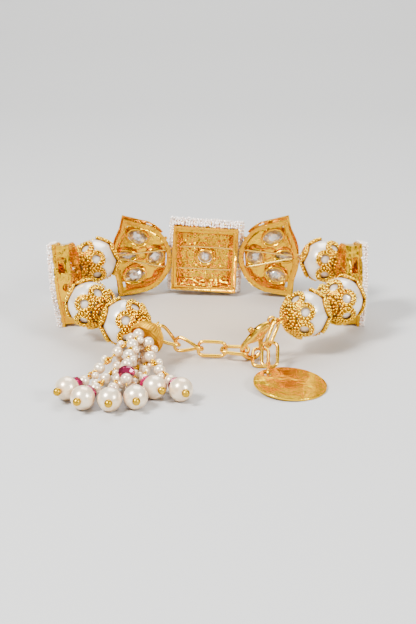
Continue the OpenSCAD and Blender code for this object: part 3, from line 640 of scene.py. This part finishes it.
def outwardOf(points):
    # the direction through a flat piece that points away from the wrist, and how far each point lies along it
    cloud = np.array(points)
    centre = cloud.mean(0)
    depth = Vector(np.linalg.svd(cloud - centre)[2][2])
    if depth.dot(Vector(centre) - wristMiddle) < 0:
        depth = -depth
    return depth, (cloud - centre) @ np.array(depth), Vector(centre)


def finishBack(piece, settings):
    # a groove in the flat bar at the back, and the hammered finish on the sunk floor
    depth, levels, centre = outwardOf([v.co for v in piece.data.vertices])
    floorLevel = levels.min() + settings["floorShare"] * np.ptp(levels)
    bm = bmesh.new()
    bm.from_mesh(piece.data)

    def levelOf(face):
        return (face.calc_center_median() - centre).dot(depth)

    backward = [face for face in bm.faces if face.normal.dot(depth) < -settings["barFacing"]
                and levelOf(face) < floorLevel]
    largest = max(backward, key=lambda face: face.calc_area())
    barMiddle = largest.calc_center_median()
    bar = [face for face in backward if face.normal.dot(largest.normal) > settings["sameFacing"]
           and abs((face.calc_center_median() - barMiddle).dot(largest.normal)) < settings["sameLevel"] * mm]
    for face in bm.faces:
        if face.normal.dot(depth) < -settings["floorFacing"] and levelOf(face) > floorLevel:
            face.material_index = 1
    bmesh.ops.inset_region(bm, faces=bar, thickness=settings["rim"] * mm, depth=-settings["groove"] * mm,
                           use_even_offset=True)
    bm.to_mesh(piece.data)
    bm.free()
    piece.data.set_sharp_from_angle(angle=math.radians(settings["sharp"]))


# floorShare is where the floor starts through the depth, the facings are cosines, lengths are millimetres
plaques = {"edge": 0.1, "sharp": 35, "floorShare": 0.45, "barFacing": 0.9, "sameFacing": 0.999,
           "sameLevel": 0.03, "floorFacing": 0.6, "rim": 0.36, "groove": 0.2,
           "floors": {"hammeredGold": ["plaque_centre"], "rippledGold": [
               "plaque_left", "plaque_right", "plaque_side_left", "plaque_side_right"]}}
for floorFinish, names in plaques["floors"].items():
    for name in names:
        plaque = polishedCopy(name, gold["castGold"], plaques["edge"], plaques["sharp"])
        plaque.data.materials.append(gold[floorFinish])
        finishBack(plaque, plaques)

# the walls round the square's hollow back, a closed section: how far in from the bar's inner edge, how deep;
# its directions are found among the longest edges
hollow = {"half": 7.5, "longest": 8,
          "profile": [(0.0, 0.8), (0.4, 1.7), (0.5, 2.3), (1.2, 3.48), (-0.2, 3.48), (-0.2, 0.8)]}


def squareAxes(node):
    # the square's middle at its back, and its sideways, upward and inward directions
    bm = flatFacedMesh(node)
    longest = sorted(bm.edges, key=lambda e: -e.calc_length())[:hollow["longest"]]
    sides = [(e.verts[0].co - e.verts[1].co).normalized() for e in longest]
    points = [v.co.copy() for v in bm.verts]
    bm.free()
    up = max(sides, key=lambda d: abs(d.z))
    across = max(sides, key=lambda d: abs(d.x))
    up, across = up * math.copysign(1, up.z), across * math.copysign(1, across.x)
    inward = up.cross(across)
    spans = [(min(p.dot(d) for p in points), max(p.dot(d) for p in points)) for d in (across, up, inward)]
    back = across * sum(spans[0]) / 2 + up * sum(spans[1]) / 2 + inward * spans[2][0]
    return back, across, up, inward


def addHollowWalls(piece):
    back, across, up, inward = squareAxes("plaque_centre")
    bm = bmesh.new()
    bm.from_mesh(piece.data)
    rings = []
    for inset, deep in hollow["profile"]:
        half = (hollow["half"] - inset) * mm
        rings.append([bm.verts.new(back + across * x * half + up * z * half + inward * deep * mm)
                      for x, z in ((-1, -1), (1, -1), (1, 1), (-1, 1))])
    walls = []
    for ring, deeper in zip(rings, rings[1:] + rings[:1]):
        for k in range(4):
            face = bm.faces.new((ring[k], ring[(k + 1) % 4], deeper[(k + 1) % 4], deeper[k]))
            face.material_index = 1
            walls.append(face)
    bmesh.ops.recalc_face_normals(bm, faces=walls)
    bm.to_mesh(piece.data)
    bm.free()


addHollowWalls(bpy.data.objects["plaque_centre_finished"])

for name in ("end_eye_left", "end_eye_right", "jump_ring_left", "jump_ring_right"):
    polishedCopy(name, gold["polishedGold"], sharp=50)
for name in ("strand_upper", "strand_lower"):
    roundedCopy(name, gold["strandGold"], grow=0.12)
polishedCopy("clasp_body", gold["satinGold"], edge=0.05, sharp=50)
polishedCopy("clasp_lever", gold["satinGold"], edge=0.05, body="clasp_gate")
polishedCopy("tassel_cap", gold["brushedGold"], edge=0.05, sharp=50)
polishedCopy("tag", gold["leafGold"], edge=0.08)
chainLinks = ["chain_link_%d" % k for k in range(1, 5)] + ["tail_link_%d" % k for k in range(1, 4)]
for name in chainLinks + ["tag_loop"]:
    roundedCopy(name, gold["satinGold"], grow=0.07)
print("gold pieces finished")

# large pearls and their caps

beadNames = ["back_left", "back_right", "left_rear", "left_front", "right_rear", "right_front"]
largeBeads = {"roundness": (48, 32), "sheetSharp": 50}
# the settings of granulatedCap that all caps share
capStyle = {"Loops": 6, "Loop Tilt": math.radians(50), "Rim Radius": 1.3 * mm, "Inner Row": 1.62 * mm,
            "Outer Row": 2.2 * mm, "Grain Radius": 0.36 * mm, "Rim Wire": 0.15 * mm}


def capTurns(axis):
    # the source turns its Z axis onto the bore with a tilt and a heading
    heading = Euler((0, math.acos(max(-1, min(1, axis.z))), math.atan2(axis.y, axis.x))).to_matrix().to_4x4()
    return heading, heading @ Matrix.Rotation(math.pi, 4, "X")


for seed, bead in enumerate(beadNames):
    low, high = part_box("pearl_" + bead)
    centre = (low + high) / 2
    radius = (high - low).z / 2
    pearl = beadPiece("pearl_%s_smooth" % bead, [centre], [radius], largeBeads["roundness"], largePearl)
    finished(pearl, "bracelet", "pearl", "pearl_" + bead)

    halves = looseParts("caps_" + bead)
    capMiddles = [sum(part["points"], Vector()) / len(part["points"]) for part in halves]
    axis = (capMiddles[0] - capMiddles[1]).normalized()
    capRadius = max(reach(part["points"], centre) for part in halves)
    grown = []
    for turn in capTurns(axis):
        half = grownPiece("capHalf", bpy.data.meshes.new("capSource"), granulatedCap, {
            "Cap Radius": capRadius, "Cap Material": gold["grainGold"], "Seed": seed, **capStyle})
        half.data.transform(Matrix.Translation(centre) @ turn)
        grown.append(half)
    # the sheet under the grains takes the darkened gold, painted shade between the grains
    sheet = plainMesh("capSheet", mergedMesh("caps_" + bead))
    smooth(sheet, largeBeads["sheetSharp"])
    grown.append(newPiece("capSheet", sheet, gold["shadedSheetGold"]))
    caps = newPiece("caps_%s_granulated" % bead, joinedMesh("caps_" + bead + "Mesh", grown))
    finished(caps, "bracelet", "gold", "caps_" + bead)
print("beads and caps finished")

# stones

stoneNodes = [name for name in nodes if "stone" in name]
for name in stoneNodes:
    cut = newPiece(name + "_cut", plainMesh(name + "Cut", flatFacedMesh(name)), clearStone)
    finished(cut, "bracelet", "stone", name)

# a rounded rim on the collet round the back of each stone but the petals, seen from inside the loop: it runs
# this far outside and behind the stone's girdle, which lies this high over its back, give or take within
rims = {"wire": 0.34, "sides": 8, "out": 0.34, "girdle": 0.8, "within": 0.1, "behind": 1.15}
rimmedStones = [name for name in stoneNodes if name != "petal_stones"]
rimLines = []
for name in rimmedStones:
    for part in looseParts(name):
        depth, levels, _ = outwardOf(part["points"])
        girdleLevel = levels.min() + rims["girdle"] * mm
        girdle = [p - depth * rims["behind"] * mm for p, level in zip(part["points"], levels)
                  if abs(level - girdleLevel) < rims["within"] * mm]
        ringMiddle = sum(girdle, Vector()) / len(girdle)
        side = depth.orthogonal().normalized()
        up = depth.cross(side)
        girdle.sort(key=lambda p: math.atan2((p - ringMiddle).dot(up), (p - ringMiddle).dot(side)))
        rimLines.append(([p + (p - ringMiddle).normalized() * rims["out"] * mm for p in girdle], True))
collets = wirePiece("stone_collet_rims", rimLines, rims["wire"], rims["sides"], gold["polishedGold"])
finished(collets, "bracelet", "gold")
print("stones finished:", len(stoneNodes), "nodes,", len(rimLines), "rims")

# borders of seed pearls

# each row of seed pearls: how far inward across the bar and outward through it, below 0 on the wall behind;
# the bar's outlines run where its faces turn by rimAngle degrees or more
border = {"beadRadius": 0.36, "sizes": (0.75, 1.15), "spacing": 0.72, "shake": 0.2, "roundness": (8, 6),
          "rimAngle": 60, "seed": 5,
          "rows": [(0.04, 0.12), (0.04, 0.5), (0.04, 0.9), (0.5, 1.0), (0.95, 1.0)],
          "wallRows": [(0.35, -0.4), (0.6, -0.9), (0.8, -1.4), (0.85, -1.9)]}


def borderOutlines(node):
    # the flat bar's two outlines at its back, its depth direction, and its thickness
    bm = flatFacedMesh(node)
    depth, levels, _ = outwardOf([v.co for v in bm.verts])
    half = (levels.min() + levels.max()) / 2
    back = {v.index for v, level in zip(bm.verts, levels) if level < half}
    rim = [e for e in bm.edges if e.verts[0].index in back and e.verts[1].index in back
           and len(e.link_faces) == 2 and e.calc_face_angle() > math.radians(border["rimAngle"])]
    around = {}
    for e in rim:
        a, b = e.verts
        around.setdefault(a.index, []).append(b.index)
        around.setdefault(b.index, []).append(a.index)
    bm.verts.ensure_lookup_table()
    loops, left = [], set(around)
    while left:
        walk = [min(left)]
        left.discard(walk[0])
        while True:
            onward = [i for i in around[walk[-1]] if i in left]
            if not onward:
                break
            walk.append(onward[0])
            left.discard(onward[0])
        loops.append([bm.verts[i].co.copy() for i in walk])
    bm.free()
    loops.sort(key=lambda pts: -sum((a - b).length for a, b in zip(pts, pts[1:] + pts[:1])))
    return loops[0], loops[-1], depth, np.ptp(levels)


def evenly(points, spacing):
    # points at even steps along a closed line
    closed = points + [points[0]]
    lengths = [(b - a).length for a, b in zip(closed, closed[1:])]
    total = sum(lengths)
    count = max(3, round(total / spacing))
    made, i, passed = [], 0, 0.0
    for k in range(count):
        at = total * k / count
        while i < len(lengths) - 1 and passed + lengths[i] < at:
            passed += lengths[i]
            i += 1
        made.append(closed[i].lerp(closed[i + 1], (at - passed) / lengths[i]))
    return made


for node in ("border_centre", "border_side_left", "border_side_right"):
    outer, inner, depth, thick = borderOutlines(node)
    paired = [min(inner, key=lambda q: (q - p).length) for p in outer]
    spots, sizes = [], []
    shuffle = np.random.default_rng(border["seed"])
    for inward, level in border["rows"] + (border["wallRows"] if node == "border_centre" else []):
        line = [p.lerp(q, inward) + depth * thick * level for p, q in zip(outer, paired)]
        for spot in evenly(line, border["spacing"] * mm):
            size = border["beadRadius"] * mm * shuffle.uniform(*border["sizes"])
            spot += Vector(shuffle.uniform(-1, 1, 3)) * border["shake"] * mm
            spots.append(Vector((spot.x, spot.y, max(spot.z, size))))
            sizes.append(size)
    beads = beadPiece(node + "_seeds", spots, sizes, border["roundness"], seedPearl)
    finished(beads, "bracelet", "seed_pearl", node)
print("seed pearl borders finished")

# fine ribs round the tassel's dome, from its mouth upward: how many, their wire, and the heights in degrees
ribs = {"count": 44, "wire": 0.13, "sides": 6, "axis": (0.5, 0.75, 0.43), "from": 3, "to": 58, "steps": 7,
        "mouth": 0.02}
domeAxis = Vector(ribs["axis"]).normalized()
domePoints = [p for part in looseParts("tassel_cap") for p in part["points"]]
lowest = min(p.dot(domeAxis) for p in domePoints)
mouth = [p for p in domePoints if p.dot(domeAxis) < lowest + ribs["mouth"] * mm]
mouthMiddle = middle(mouth)
domeRadius = reach(mouth, mouthMiddle)
ribLines = []
heights = [math.radians(a) for a in np.linspace(ribs["from"], ribs["to"], ribs["steps"])]
for k in range(ribs["count"]):
    side = Matrix.Rotation(2 * math.pi * k / ribs["count"], 3, domeAxis) @ domeAxis.orthogonal().normalized()
    rib = [mouthMiddle + (side * math.cos(a) + domeAxis * math.sin(a)) * domeRadius for a in heights]
    ribLines.append((rib, False))
domeRibs = wirePiece("tassel_cap_ribs", ribLines, ribs["wire"], ribs["sides"], gold["brushedGold"])
finished(domeRibs, "bracelet", "gold")
print("dome ribs finished:", len(ribLines))

# tassel

# a pearl under small grows by pearlGrow and has a second one beside it, sideShare of its size and sideOut of
# its radius away; a bead is a pearl from this evenness up, else a crystal; lengths are millimetres
tassel = {"strings": 7, "seed": 11, "small": 2, "evenness": 0.8, "pearlGrow": 1.12, "sideShare": 0.75,
          "sideOut": 0.95, "floorGap": 0.05, "crystalGrow": 1.5, "pearlRoundness": (28, 18), "wire": 0.17,
          "wireSides": 6, "loops": 3, "loopSteps": 12, "loopSpacing": 0.7, "loopRadius": 0.68,
          "loopWire": 0.19, "knot": 0.42, "knotRoundness": (12, 8), "endBall": 0.92,
          "ballRoundness": (20, 12)}


def sortedString(parts, start):
    # the beads of a string in the order they hang, from the cap outward
    left, here, order = list(parts), start, []
    while left:
        nearest = min(left, key=lambda part: (part["centre"] - here).length)
        left.remove(nearest)
        order.append(nearest)
        here = nearest["centre"]
    return order


capLow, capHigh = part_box("tassel_cap")
capMiddle = (capLow + capHigh) / 2
wireLines, loopLines, knotPoints, knotSizes, ballPoints, ballSizes = [], [], [], [], [], []
small = tassel["small"] * mm
loopAngles = np.linspace(0, 2 * math.pi, tassel["loopSteps"] + 1)[:-1]
shuffle = np.random.default_rng(tassel["seed"])
for number in range(1, tassel["strings"] + 1):
    node = "tassel_string_%d" % number
    parts = looseParts(node)
    for part in parts:
        part["centre"] = middle(part["points"])
        part["radius"] = reach(part["points"], part["centre"])
        cloud = np.array(part["points"]) - np.array(part["centre"])
        extents = np.ptp(cloud @ np.linalg.svd(cloud)[2].T, axis=0)
        part["round"] = min(extents) / max(extents) > tassel["evenness"]
    order = sortedString(parts, capMiddle)
    pearls = [part for part in order if part["round"]]
    spots = [p["centre"] for p in pearls]
    sizes = [p["radius"] * (tassel["pearlGrow"] if p["radius"] < small else 1) for p in pearls]
    for a, b in zip(order, order[1:]):
        if a["round"] and b["round"] and max(a["radius"], b["radius"]) < small:
            # a second small pearl hangs beside the wire, between two pearls of the string
            along = (b["centre"] - a["centre"]).normalized()
            side = Vector((-along.y, along.x, 0)).normalized() * shuffle.choice([-1, 1])
            extra = a["radius"] * tassel["sideShare"]
            beside = a["centre"].lerp(b["centre"], 0.5) + side * a["radius"] * tassel["sideOut"]
            beside.z = max(beside.z, extra + tassel["floorGap"] * mm)
            spots.append(beside)
            sizes.append(extra)
    strung = [beadPiece(node + "_pearls", spots, sizes, tassel["pearlRoundness"], dropPearl)]
    for part in order:
        if not part["round"]:
            mesh = bpy.data.meshes.new("crystal")
            centre = part["centre"]
            grownPoints = [centre + (p - centre) * tassel["crystalGrow"] for p in part["points"]]
            mesh.from_pydata([tuple(p) for p in grownPoints], [], part["faces"])
            strung.append(newPiece("crystal", mesh, magentaCrystal))
    beads = newPiece(node + "_beads", joinedMesh(node + "Beads", strung))
    finished(beads, "bracelet", "tassel_pearl", node)

    centres = [part["centre"] for part in order]
    last = (centres[-1] - centres[-2]).normalized()
    end = centres[-1] + last * (order[-1]["radius"] + tassel["endBall"] * mm)
    wireLines.append(([capMiddle, *centres, end], False))
    if order[-1]["radius"] > small:
        ballPoints.append(end)
        ballSizes.append(tassel["endBall"] * mm)
    for a, b in zip(order, order[1:]):
        between = b["centre"] - a["centre"]
        along = between.normalized()
        free = between.length - a["radius"] - b["radius"]
        spot = a["centre"] + along * (a["radius"] + free / 2)
        for part, way in ((a, 1), (b, -1)):
            if part["round"]:
                knotPoints.append(part["centre"] + along * way * part["radius"])
                knotSizes.append(tassel["knot"] * mm)
        for turn in range(tassel["loops"]):
            side = Vector(shuffle.normal(size=3)).cross(along).normalized()
            up = side.cross(along).normalized()
            shift = along * (turn - 1) * tassel["loopSpacing"] * tassel["loopRadius"] * mm
            ring = [spot + shift + (along * math.cos(t) + up * math.sin(t)) * tassel["loopRadius"] * mm
                    for t in loopAngles]
            loopLines.append(([Vector((p.x, p.y, max(p.z, tassel["loopWire"] * mm))) for p in ring], True))
wires = [
    wirePiece("stringWires", wireLines, tassel["wire"], tassel["wireSides"], gold["polishedGold"]),
    wirePiece("stringLoops", loopLines, tassel["loopWire"], tassel["wireSides"], gold["polishedGold"]),
    beadPiece("knots", knotPoints, knotSizes, tassel["knotRoundness"], gold["polishedGold"]),
    beadPiece("endBalls", ballPoints, ballSizes, tassel["ballRoundness"], gold["pinGold"]),
]
tasselWires = newPiece("tassel_wires_and_balls", joinedMesh("tasselWires", wires))
finished(tasselWires, "bracelet", "gold", "tassel_wires")
print("tassel finished:", len(loopLines), "wire loops")

# floor, light and camera

# inside the loop the paper is painted a little warmer: painted light where the gold shines on it
studio = {"paper": (0.55, 0.55, 0.542), "paintedGoldBounce": (0.525, 0.435, 0.34), "bounceMiddle": (0, 0.008, 0),
          "bounceReach": (0.012, 0.05), "rough": 0.7, "shine": 0.3, "horizon": (0.42, 0.3, 0.17),
          "zenith": (1.0, 1.0, 1.0), "zenithAt": 0.6, "worldStrength": 0.36, "halfWidth": 3.0,
          "sweep": [(-3.0, 0.0), (0.3, 0.0), (0.4, 0.015), (0.48, 0.06), (0.54, 0.13), (0.58, 0.22),
                    (0.6, 0.35), (0.6, 1.2)]}
floorMesh = bpy.data.meshes.new("floor")
corners = [(x, y, z) for y, z in studio["sweep"] for x in (-studio["halfWidth"], studio["halfWidth"])]
strips = [(2 * i, 2 * i + 1, 2 * i + 3, 2 * i + 2) for i in range(len(studio["sweep"]) - 1)]
floorMesh.from_pydata(corners, [], strips)
smooth(floorMesh)
floorMaterial, paper, floorShader = newMaterial("paperFloor")
floorPlace = addNode(paper, "ShaderNodeTexCoord")
distance = addNode(paper, "ShaderNodeVectorMath", {
    0: floorPlace.outputs["Object"], 1: studio["bounceMiddle"]}, operation="DISTANCE")
paperShare = rangeOf(paper, distance.outputs["Value"], *studio["bounceReach"])
setInputs(paper, floorShader, {
    "Base Color": mixColours(paper, paperShare, studio["paintedGoldBounce"], studio["paper"]),
    "Roughness": studio["rough"], "Specular IOR Level": studio["shine"]})
floor = newPiece("floor", floorMesh, floorMaterial)
floor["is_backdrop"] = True

world = bpy.data.worlds.new("studio")
bpy.context.scene.world = world
world.use_nodes = True
sky = world.node_tree
direction = addNode(sky, "ShaderNodeTexCoord")
height = addNode(sky, "ShaderNodeSeparateXYZ", {0: direction.outputs["Generated"]})
brightness = addNode(sky, "ShaderNodeValToRGB", {"Fac": height.outputs["Z"]})
ends = brightness.color_ramp.elements
for end, position, tone in zip(ends, (0.0, studio["zenithAt"]), ("horizon", "zenith")):
    end.position = position
    end.color = (*studio[tone], 1)
setInputs(sky, sky.nodes["Background"], {
    "Color": brightness.outputs["Color"], "Strength": studio["worldStrength"]})

softBoxes = [
    {"name": "keyLeft", "place": (-0.3, -0.22, 0.42), "size": 0.15, "power": 7.0},
    {"name": "fillRight", "place": (0.38, -0.3, 0.3), "size": 0.15, "power": 3.6},
    {"name": "frontCard", "place": (-0.05, -0.7, 0.16), "size": 0.5, "power": 1.1},
    {"name": "topBack", "place": (0.05, 0.3, 0.5), "size": 0.4, "power": 3.4},
]
for box in softBoxes:
    light = bpy.data.lights.new(box["name"], "AREA")
    light.size = box["size"]
    light.energy = box["power"]
    lamp = bpy.data.objects.new(box["name"], light)
    lamp.location = box["place"]
    lamp.rotation_euler = (-Vector(box["place"])).to_track_quat("-Z", "Y").to_euler()
    bpy.context.scene.collection.objects.link(lamp)

view = {"place": (0.166 * mm, -315.892 * mm, 120.49 * mm), "pitch": 70.56, "lens": 79.0, "nearest": 0.01}
cameraData = bpy.data.cameras.new("camera")
cameraData.lens = view["lens"]
cameraData.clip_start = view["nearest"]
camera = bpy.data.objects.new("camera", cameraData)
camera.location = view["place"]
camera.rotation_euler = (math.radians(view["pitch"]), 0, 0)
bpy.context.scene.collection.objects.link(camera)
bpy.context.scene.camera = camera

sizes = {"cad": [list(corner) for corner in cadBox], "visual": [list(corner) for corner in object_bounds()]}
print("scene ready")
